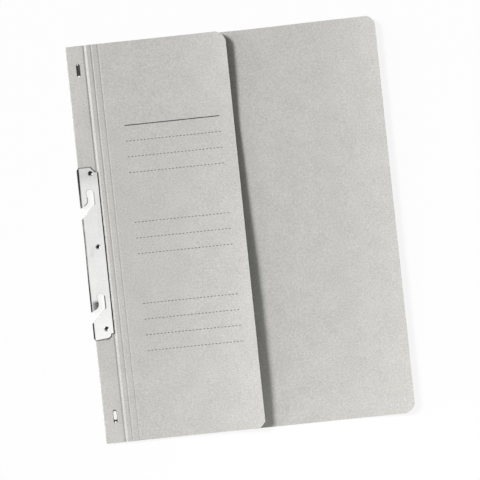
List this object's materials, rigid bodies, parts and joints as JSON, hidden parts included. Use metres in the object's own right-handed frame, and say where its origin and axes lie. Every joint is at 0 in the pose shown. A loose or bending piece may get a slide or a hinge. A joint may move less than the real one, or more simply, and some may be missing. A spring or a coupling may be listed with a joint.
{
  "type": "fastener folder",
  "caption": "Hook-in fastener folder in grey card with a half-width front cover, a steel hook plate round the spine edge and a tongue fastener for punched sheets inside.",
  "frame": {"origin": "centre of the bottom of the folder's box, on the table that the back cover lies on", "axes": "+X from the spine edge to the fore edge, +Y to the top edge, +Z out of the front cover"},
  "size_m": [0.239, 0.305, 0.0082],
  "materials": {
    "grey_card": "uncoated recycled grey card, finely flecked",
    "dark_board": "dark pressed board",
    "plated_steel": "bright zinc-plated sheet steel",
    "rivet_steel": "plated steel",
    "tinned_steel": "tinned sheet steel"
  },
  "bodies": {
    "back": {"back_cover": "grey_card", "spine_margin": "grey_card", "spine_stiffener": "dark_board", "hook_plate": "plated_steel", "rivet_top": "rivet_steel", "rivet_middle": "rivet_steel", "rivet_bottom": "rivet_steel", "tongue_strip": "tinned_steel", "reinforcement_strip": "grey_card", "compressor_bar": "tinned_steel"},
    "inner_strip": {"crease_strip_inner": "grey_card"},
    "outer_strip": {"crease_strip_outer": "grey_card"},
    "front": {"front_cover": "grey_card"},
    "lock_upper": {"lock_slide_upper": "tinned_steel"},
    "lock_lower": {"lock_slide_lower": "tinned_steel"}
  },
  "joints": [
    {"name": "crease_1", "type": "hinge", "parent": "back", "child": "inner_strip", "pos_m": [-0.10358, 0, 0.00195], "axis": [0, -1, 0], "range_deg": [0, 60]},
    {"name": "crease_2", "type": "hinge", "parent": "inner_strip", "child": "outer_strip", "pos_m": [-0.09828, 0, 0.0029], "axis": [0, -1, 0], "range_deg": [0, 60]},
    {"name": "crease_3", "type": "hinge", "parent": "outer_strip", "child": "front", "pos_m": [-0.09308, 0, 0.003], "axis": [0, -1, 0], "range_deg": [0, 60]},
    {"name": "lock_slide_upper_travel", "type": "slide", "parent": "back", "child": "lock_upper", "axis": [0, 1, 0], "range_m": [-0.017, 0.01]},
    {"name": "lock_slide_lower_travel", "type": "slide", "parent": "back", "child": "lock_lower", "axis": [0, -1, 0], "range_m": [-0.017, 0.01]}
  ]
}
